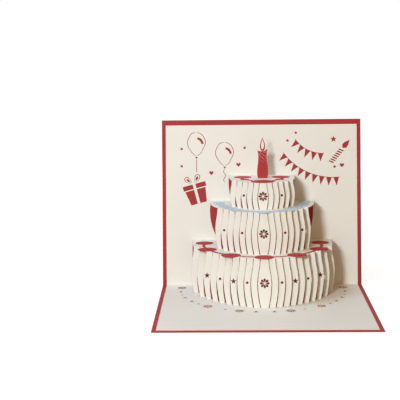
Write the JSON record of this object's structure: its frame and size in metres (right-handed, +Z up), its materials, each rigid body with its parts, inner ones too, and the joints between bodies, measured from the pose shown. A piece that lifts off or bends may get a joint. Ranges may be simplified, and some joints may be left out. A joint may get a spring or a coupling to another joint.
{
  "type": "pop up card",
  "caption": "Folded red greeting card standing half open, with a cream pop-up sheet cut into a tiered cake of wavy strips, a paper candle and icing garlands.",
  "frame": {"origin": "on the surface the card stands on, at the middle of its bounding box", "axes": "+X to the right of someone facing the open card, +Y towards the standing back panel, +Z up"},
  "size_m": [0.18, 0.1748, 0.1484],
  "materials": {
    "red_card": "matt dyed card",
    "cream_paper": "fine pearl paper",
    "red_paper": "matt dyed paper",
    "blue_paper": "matt dyed paper"
  },
  "bodies": {
    "root": {"cover": "red_card", "inner_sheet": "cream_paper", "candle": "red_paper", "lower_garland": "red_paper", "middle_garland": "blue_paper", "upper_garland": "red_paper"}
  },
  "joints": []
}
